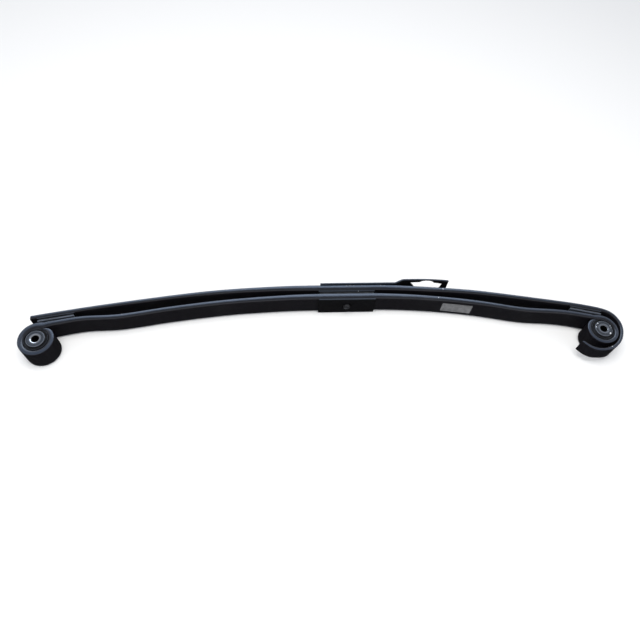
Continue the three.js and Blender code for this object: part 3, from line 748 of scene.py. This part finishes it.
def eye_rings(pairs, n_flat):
    """Rings through key pairs round a rolled eye, from the flat leaf to the thin end of the roll."""
    po = catmull([p[0] for p in pairs], 3)
    pi = catmull([p[1] for p in pairs], 3)
    out, total = [], len(po)
    for k, (o, i) in enumerate(zip(po, pi)):
        t = math.hypot(o[0] - i[0], o[1] - i[1])
        w = smooth((k / 3 - n_flat) / 3.0)
        e0, e1, _ = leaf_edge(t)
        e_out = e0 + (min(4.0, t * 0.36) - e0) * w
        e_in = e1 + (min(5.5, t * 0.5) - e1) * w
        left = (total - 1 - k)
        shrink = 0.5 * (1 - smooth(left / 5.0))
        out.append(ring(o, i, e_out, e_in, 0.0, shrink))
    return out


def rear_eye_pairs():
    c = REAR_EYE
    rel = lambda x, y: (c[0] + x, c[1] + y)
    outer = [(76, 55.2), (88, 53.8), (100, 52.9), (112, 52.0), (124, 51.1), (136, 50.3), (148, 49.6), (160, 49.1),
             (172, 48.7), (184, 48.4), (196, 48.2)] + [(a, 48.0) for a in range(208, 353, 12)] + \
            [(364, 47.9), (376, 47.7), (388, 47.2), (398, 46.5), (406, 45.2), (414, 42.6), (421, 39.2), (427, 34.6)]
    pairs = [((-817.0, main_far(-817)), (-817.0, main_near(-817))),
             ((-829.5, main_far(-829.5)), rel(31, 42.0)),
             ((-838.5, main_far(-838.5)), rel(22, 38.8)),
             (polar(c, 55.2, 76), rel(15, 35.6)),
             (polar(c, 54.4, 82), rel(9.5, 33.0)),
             (polar(c, 53.8, 88), polar(c, 32.8, 84))]
    for a, r in outer[2:]:
        lag = 4.0 * (1 - smooth((a - 88) / 60))
        pairs.append((polar(c, r, a), polar(c, 32.8, a - lag)))
    return pairs


def front_eye_pairs():
    c = FRONT_EYE
    rel = lambda x, y: (c[0] + x, c[1] + y)
    outer = [(70, 46.4), (58, 45.8), (46, 45.3), (34, 45), (22, 44.8), (10, 44.7), (-2, 44.7), (-14, 44.7), (-26, 44.7),
             (-38, 44.7), (-50, 44.8), (-62, 44.9), (-74, 45), (-86, 45.1), (-98, 45.2), (-110, 45.2), (-122, 45.2),
             (-134, 45.2), (-146, 45.2), (-158, 45.2), (-170, 45.2), (-182, 45.1), (-194, 45), (-206, 44.7),
             (-216, 44.1), (-224, 43.2), (-232, 41.4), (-239, 38.6), (-246, 34.4)]
    pairs = [((706.0, main_far(706)), (706.0, main_near(706))),
             ((716.0, main_far(716)), rel(-23, 37.6)),
             (polar(c, 50.2, 106), rel(-15.5, 34.9)),
             (polar(c, 49.2, 100), rel(-9.5, 32.8)),
             (polar(c, 48.4, 94), polar(c, 32.8, 97)),
             (polar(c, 47.2, 82), polar(c, 32.8, 84))]
    for a, r in outer:
        pairs.append((polar(c, r, a), polar(c, 32.8, a)))
    return pairs


def narrowing(x):
    table = [(700, 20.5), (720, 20.5), (739, 17), (757, 10), (774, 0), (900, 0)]
    if x <= 700:
        return 20.5
    for (x0, a), (x1, b) in zip(table[:-1], table[1:]):
        if x <= x1:
            return a + (b - a) * (x - x0) / (x1 - x0)
    return 0.0


def second_front_rings():
    far_pts = [(x, second_far(x)) for x in (704, 716, 728)]
    near_pts = [(x, second_near(x)) for x in (704, 716, 728)]
    o = catmull(far_pts + [tuple(p) for p in WRAP_OUT], 3)
    i = catmull(near_pts + [tuple(p) for p in WRAP_IN], 3)
    out, total = [], len(o)
    for k, (a, b) in enumerate(zip(o, i)):
        t = math.hypot(a[0] - b[0], a[1] - b[1])
        e0, e1, _ = leaf_edge(t)
        left = total - 1 - k
        shrink = 2.6 * (1 - math.sqrt(max(0.0, 1 - (1 - min(1.0, left / 3.0)) ** 2)))
        row = ring(a, b, e0, e1, 0.0, shrink, 0.86 if left == 0 else 1.0)
        # the wrap narrows on its lower side towards its end
        raised = narrowing((a[0] + b[0]) / 2) if (a[1] + b[1]) / 2 < -120 else 0.0
        out.append([(x, y, z + raised * min(1.0, -z / 28.0) if z < 0 else z) for x, y, z in row])
    return out


def second_rear_rings(a):
    out = [r for r in run(second_far, second_near, a, -876, 6.0)]
    radius = 3.0
    for x in (-880, -882.5, -884.5, -886, -887.2, -887.8, -888):
        d = 888 + x
        shrink = radius - math.sqrt(max(0.0, radius ** 2 - (radius - min(radius, d)) ** 2))
        o, i = (x, second_far(x)), (x, second_near(x))
        e = leaf_edge(o[1] - i[1])
        out.append(ring(o, i, *e, shrink, 0.90 if d < 0.1 else (0.97 if d < 0.4 else 1.0)))
    return out


def bolt_cutter():
    return lathe("cutter", [(0, -20), (6.4, -20), (6.4, 100), (0, 100)], (0, 0, 0), LEAF, 48, "Y")


def leaf_piece(name, rings, bodies, nodes):
    o = sweep(name, rings, LEAF)
    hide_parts(*nodes)
    if len(bodies) == 1:
        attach(o, bodies[0])
    else:
        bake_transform(o)
    return o


for leaf, far, near in (("main", main_far, main_near), ("second", second_far, second_near)):
    mid = sweep(f"{leaf}_leaf_mid", run(far, near, -84, 84, 7.0), LEAF)
    cut(mid, [bolt_cutter()], LEAF, 48.0)
    if "flow" in mid.data.attributes:
        mid.data.attributes.remove(mid.data.attributes["flow"])
    _at = mid.data.attributes.new("flow", "FLOAT_VECTOR", "POINT")
    _at.data.foreach_set("vector", [c for v in mid.data.vertices
                                      for c in (v.co.x, v.co.y - (far(v.co.x / MM) + near(v.co.x / MM)) / 2 * MM, v.co.z)])
    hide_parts(f"{leaf}_leaf_center")
    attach(mid, "center")

for side, hinges, first, stops in (("front", (193, 412, 631), 84, (302, 521)), ("rear", (-213, -472, -731), -84, (-342.5, -601.5))):
    for leaf, far, near in (("main", main_far, main_near), ("second", second_far, second_near)):
        body = lambda k: f"{side}_{leaf}_{k}"
        node = lambda k: f"{leaf}_leaf_{side}_{k}"
        leaf_piece(f"{leaf}_leaf_{side}_inner", run(far, near, first, stops[0]), ("center", body(1)),
                   (f"{leaf}_leaf_center", node(1)))
        leaf_piece(f"{leaf}_leaf_{side}_middle", run(far, near, stops[0], stops[1]), (body(1), body(2)),
                   (node(1), node(2)))
        if leaf == "main" and side == "front":
            rings = run(far, near, stops[1], 694) + [r for r in run(far, near, 694, 706, 6.0)[1:-1]] + eye_rings(front_eye_pairs(), 1.0)
        elif leaf == "main":
            rings = run(far, near, stops[1], -811) + eye_rings(rear_eye_pairs(), 2.0)
        elif side == "front":
            rings = run(far, near, stops[1], 698) + second_front_rings()
        else:
            rings = second_rear_rings(stops[1])
        leaf_piece(f"{leaf}_leaf_{side}_outer", rings, (body(2), body(3)), (node(2), node(3)))

# =============================================================== blank foil label on the main leaf
def label():
    x0, x1, z0, z1, off, th, rad = 284.3, 373.2, -20.5, 20.9, 0.18, 0.22, 3.0
    xs = [x0, x0 + 0.6, x0 + 1.5, x0 + rad] + steps(x0 + rad, x1 - rad, 7.0)[1:-1] + [x1 - rad, x1 - 1.5, x1 - 0.6, x1]
    verts, faces = [], []
    zs = [0, 0.04, 0.2, 0.4, 0.6, 0.8, 0.96, 1.0]
    for x in xs:
        d = min(x - x0, x1 - x)
        inset = rad - math.sqrt(max(0.0, rad ** 2 - (rad - min(rad, d)) ** 2))
        inset = inset if d < rad else 0.0
        row = []
        for f in zs:
            z = (z0 + inset) + ((z1 - inset) - (z0 + inset)) * f
            row.append((x, main_near(x) - off, z))
        for f in reversed(zs):
            z = (z0 + inset) + ((z1 - inset) - (z0 + inset)) * f
            wave = 0.10 * math.sin(x * 0.21 + z * 0.13) * math.sin(z * 0.17 + 1.0) * (1 if 0 < f < 1 else 0)
            row.append((x, main_near(x) - off - th - max(0.0, wave), z))
        verts += row
    n = 2 * len(zs)
    faces.append(list(range(n)))
    faces.append([len(verts) - n + k for k in range(n)][::-1])
    for a in range(len(xs) - 1):
        for k in range(n):
            j = (k + 1) % n
            faces.append([a * n + k, a * n + j, (a + 1) * n + j, (a + 1) * n + k])
    o = solid("label_blank", verts, faces, FOIL, 40.0)
    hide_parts("label")
    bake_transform(o)


label()

# =============================================================== centre clamp pieces
def done(o, slot, body, *nodes):
    if nodes:
        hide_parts(*nodes)
    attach(o, body)
    return o


def plate(name, x0, x1, y0, y1, half_w, corner, mat, width, spots=()):
    """A flat plate with rounded plan corners, the bolt hole and broken edges."""
    o = prism(name, fillet([(x0, -half_w), (x1, -half_w), (x1, half_w), (x0, half_w)], corner, 6), y0, y1, mat, "Y")
    cut(o, [bolt_cutter()] + [lathe("seat", [(0, a), (r, a), (r, b), (0, b)], (0, 0, 0), mat, 64, "Y") for r, a, b in spots], mat)
    return bevel(o, mat, width, 3)


done(plate("top_plate", -83.5, 83.5, 6.5, 10.5, 35.0, 2.2, PLATE, 1.3, [(10.6, 4.0, 6.7)]), "plate_paint", "center", "top_clamp_plate")
done(plate("spacer_plate", -83.5, 83.5, 35.2, 40.9, 33.5, 2.0, SPACER, 0.9), "plate_paint", "center", "center_spacer")
done(plate("liner_plate", -80.5, 80.5, 29.1, 34.9, 31.0, 1.5, RUBBER, 0.7), "bush_rubber", "center", "center_liner")


def chaikin(pts, times):
    for _ in range(times):
        out = [pts[0]]
        for a, b in zip(pts[:-1], pts[1:]):
            out.append((a[0] * 0.75 + b[0] * 0.25, a[1] * 0.75 + b[1] * 0.25))
            out.append((a[0] * 0.25 + b[0] * 0.75, a[1] * 0.25 + b[1] * 0.75))
        pts = out + [pts[-1]]
    return pts


def bracket():
    by, t = 59.0, 4.0
    near = [(-77, by), (141, by), (145.5, by), (151, by + 1.6), (166.6, by + 9.6), (171.8, by + 11.2), (180, by + 11.3),
            (226, by + 11.4), (278, by + 8.8), (308, by + 4.8)]
    near = chaikin(near, 1)
    far = []
    for k, p in enumerate(near):
        a, b = near[max(0, k - 1)], near[min(len(near) - 1, k + 1)]
        l = math.hypot(b[0] - a[0], b[1] - a[1])
        far.append((p[0] - (b[1] - a[1]) / l * t, p[1] + (b[0] - a[0]) / l * t))
    far[0] = (-77, by + t)
    o = prism("bracket", near + far[::-1], -38.5, 38.5, BRACKET)
    win = [(193.5, 25), (223.5, 26.4), (228, 30.8), (234, 33.4), (241, 34.8), (254, 34.3), (261, 31), (267, 25.2),
           (293.4, 22), (289.6, 2), (286, -14), (218, -14), (206.3, 7.4)]
    window = prism("window", fillet(win, [1.6, 1.0, 2, 3, 4, 4, 2, 1.0, 1.6, 4, 3, 3, 4], 5), 40, 100, BRACKET, "Y")
    seat = lathe("seat", [(0, 62.8), (12.9, 62.8), (12.9, 70), (0, 70)], (0, 0, 0), BRACKET, 64, "Y")
    cut(o, [window, bolt_cutter(), seat], BRACKET)
    bevel(o, BRACKET, 0.8, 3, 30.0)
    return o


done(bracket(), "bracket_paint", "center", "stop_bracket")


def bolt():
    prof = fillet([(0, 0), (9.8, 0), (9.8, 6.2), (6.0, 6.2)], [0, 1.3, 0.5, 0.3], 5)
    prof.insert(1, (7.6, 0.0))
    # slight dish in the end face of the head
    prof[0] = (0, 0.35)
    prof.insert(1, (5.2, 0.3))
    y = 52.0
    prof.append((6.0, y))
    while y < 77.6:
        prof += [(5.35, y + 0.55), (5.35, y + 0.72), (6.0, y + 1.32), (6.0, y + 1.5)]
        y += 1.5
    prof += [(5.3, 78.4), (4.6, 79.5), (0, 79.5)]
    return lathe("center_bolt_turned", prof, (0, 0, 0), BOLT, 72, "Y", 50.0)


def nut(y0, y1):
    seg, af = 72, 9.5
    verts, faces = [], []
    for k in range(seg):
        a = 2 * math.pi * k / seg
        c = math.radians((math.degrees(a) % 60) - 30)
        r = af / math.cos(c)
        ch = max(0.0, (r - 9.35)) * 0.62
        prof = [(6.4, y0 + 0.9), (7.3, y0), (9.1, y0), (r, y0 + ch), (r, y1 - ch), (9.1, y1), (7.3, y1), (6.4, y1 - 0.9)]
        verts += [(p * math.cos(a), h, p * math.sin(a)) for p, h in prof]
    n = 8
    for k in range(seg):
        b = (k + 1) % seg
        for i in range(n):
            j = (i + 1) % n
            faces.append([k * n + i, b * n + i, b * n + j, k * n + j])
    return solid("center_nut_hex", verts, faces, BOLT, 30.0)


done(bolt(), "bolt_steel", "center", "center_bolt")
done(nut(66.1, 76.1), "bolt_steel", "center", "center_nut")
done(lathe("center_washer_flat", fillet([(6.4, 63.3), (12.0, 63.3), (12.0, 65.8), (6.4, 65.8)], [0.2, 0.5, 0.7, 0.3], 4),
           (0, 0, 0), BOLT, 72, "Y"), "bolt_steel", "center", "center_washer")

# =============================================================== eye bushes
for side, c in (("rear", REAR_EYE), ("front", FRONT_EYE)):
    at = (c[0], c[1], 0.0)
    mats = EYE_MAT[side]
    done(lathe(f"{side}_sleeve_outer", fillet([(30.5, -33), (32.5, -33), (32.5, 33), (30.5, 33)], [0.5, 0.7, 0.7, 0.5], 4),
               at, mats["outer"], 128), "bush_steel", f"{side}_main_3", f"{side}_bush_outer_sleeve")
    # rubber: bonded to both sleeves, its ends dished with a rolled lip at the outer sleeve
    half = [(17.1, 29.6), (18.4, 28.9), (21.0, 27.5), (24.5, 26.9), (27.2, 28.0), (28.6, 29.5), (29.6, 29.9), (30.2, 29.3)]
    prof = half + [(r, -z) for r, z in reversed(half)]
    done(lathe(f"{side}_rubber", prof, at, RUBBER, 128, sharp=60.0), "bush_rubber", f"{side}_main_3", f"{side}_bush_rubber")
    prof = [(10.75, -36.9), (12.2, -38.35), (13.0, -38.5), (16.2, -38.5), (16.8, -37.9), (16.8, 37.9), (16.2, 38.5),
            (13.0, 38.5), (12.2, 38.35), (10.75, 36.9)]
    done(lathe(f"{side}_sleeve_inner", prof, at, mats["inner"], 128, sharp=32.0), "bush_steel", f"{side}_bush", f"{side}_bush_inner_sleeve")
    for where, s in (("upper", 1), ("lower", -1)):
        prof = [(17.1, 35.1), (24.4, 35.1), (24.9, 35.5), (25.0, 36.4), (24.7, 37.3), (24.0, 37.9), (23.0, 38.1),
                (18.2, 38.1), (17.5, 37.9), (17.1, 37.4)]
        done(lathe(f"{side}_washer_{where}", [(r, s * z) for r, z in prof], at, mats["washer"], 128, sharp=50.0),
             "washer_paint", f"{side}_bush", f"{side}_bush_washer_{where}")

# =============================================================== tip pads
def pads():
    for side, body in (("rear", "rear_second_3"), ("front", "front_second_3")):
        for part, mat, width, slot in (("backing", PLATE, 0.5, "plate_paint"), ("rubber", PAD_RUBBER, 0.9, "bush_rubber"),
                                       ("wear_liner", LINER, 0.8, "liner_plastic")):
            o = from_node(f"{side}_tip_{part}", f"{side}_pad_{part}", mat, width, 3)
            done(o, slot, body)
        lo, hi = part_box(f"{side}_pad_rivet")
        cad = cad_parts[f"{side}_pad_rivet"]
        o = from_node(f"{side}_tip_rivet", f"{side}_pad_rivet", BOLT, 0.35, 2, 40.0)
        done(o, "bolt_steel", body)


pads()

# =============================================================== floor and light
def studio():
    z = CAD_LO[2] - 0.0002
    n, size = 24, 45.0
    verts = [(-size + 2 * size * i / n, -size + 2 * size * j / n, z) for j in range(n + 1) for i in range(n + 1)]
    faces = [[j * (n + 1) + i, j * (n + 1) + i + 1, (j + 1) * (n + 1) + i + 1, (j + 1) * (n + 1) + i] for j in range(n) for i in range(n)]
    me = bpy.data.meshes.new("floor")
    me.from_pydata(verts, [], faces)
    floor = bpy.data.objects.new("floor", me)
    scene.collection.objects.link(floor)
    m, nt, b = material("floor_paper", (0.90, 0.90, 0.90), 0.95, 0.0, 0.0)
    me.materials.append(m)
    floor.visible_glossy = False
    floor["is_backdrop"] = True

    def area(name, loc, aim, sx, sy, power, color):
        l = bpy.data.lights.new(name, "AREA")
        l.shape, l.size, l.size_y, l.energy, l.color = "RECTANGLE", sx, sy, power, color
        o = bpy.data.objects.new(name, l)
        o.location = loc
        o.rotation_euler = (Vector(aim) - Vector(loc)).to_track_quat("-Z", "Y").to_euler()
        o.visible_camera = False
        scene.collection.objects.link(o)
        return o
    back = area("softbox_back", (-0.1, 1.9, 1.85), (-0.05, 0.0, 0.0), 3.6, 1.3, 80.0, (0.62, 0.77, 1.0))
    back.visible_diffuse = False
    top = area("softbox_top", (-0.2, -0.3, 3.0), (-0.1, -0.05, 0.0), 2.6, 2.0, 95.0, (1.0, 0.99, 0.97))
    top.visible_glossy = False

    w = bpy.data.worlds.new("studio") if not scene.world else scene.world
    scene.world = w
    w.use_nodes = True
    nt = w.node_tree
    nt.nodes.clear()
    out = nt.nodes.new("ShaderNodeOutputWorld")
    bg = nt.nodes.new("ShaderNodeBackground")
    tc = nt.nodes.new("ShaderNodeTexCoord")
    sp = nt.nodes.new("ShaderNodeSeparateXYZ")
    mr = nt.nodes.new("ShaderNodeMapRange")
    mr.interpolation_type = "SMOOTHSTEP"
    mr.inputs["From Min"].default_value, mr.inputs["From Max"].default_value = -0.12, -0.01
    mr.inputs["To Min"].default_value, mr.inputs["To Max"].default_value = 0.0, 1.0
    mx = nt.nodes.new("ShaderNodeMix")
    mx.data_type = "RGBA"
    mx.inputs[6].default_value = (0.02, 0.02, 0.02, 1)
    mx.inputs[7].default_value = (0.76, 0.79, 0.84, 1)
    nt.links.new(tc.outputs["Generated"], sp.inputs[0])
    nt.links.new(sp.outputs["Z"], mr.inputs["Value"])
    nt.links.new(mr.outputs["Result"], mx.inputs[0])
    # dimmer overhead
    zen = nt.nodes.new("ShaderNodeMapRange")
    zen.interpolation_type = "SMOOTHSTEP"
    zen.inputs["From Min"].default_value, zen.inputs["From Max"].default_value = 0.60, 0.92
    zen.inputs["To Min"].default_value, zen.inputs["To Max"].default_value = 1.0, 0.15
    nt.links.new(sp.outputs["Z"], zen.inputs["Value"])
    mul = nt.nodes.new("ShaderNodeMix")
    mul.data_type, mul.blend_type = "RGBA", "MULTIPLY"
    mul.inputs[0].default_value = 1.0
    nt.links.new(mx.outputs[2], mul.inputs[6])
    nt.links.new(zen.outputs["Result"], mul.inputs[7])
    nt.links.new(mul.outputs[2], bg.inputs["Color"])
    bg.inputs["Strength"].default_value = 1.05
    nt.links.new(bg.outputs[0], out.inputs[0])


studio()

bpy.context.view_layer.update()
_lo, _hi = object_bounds()
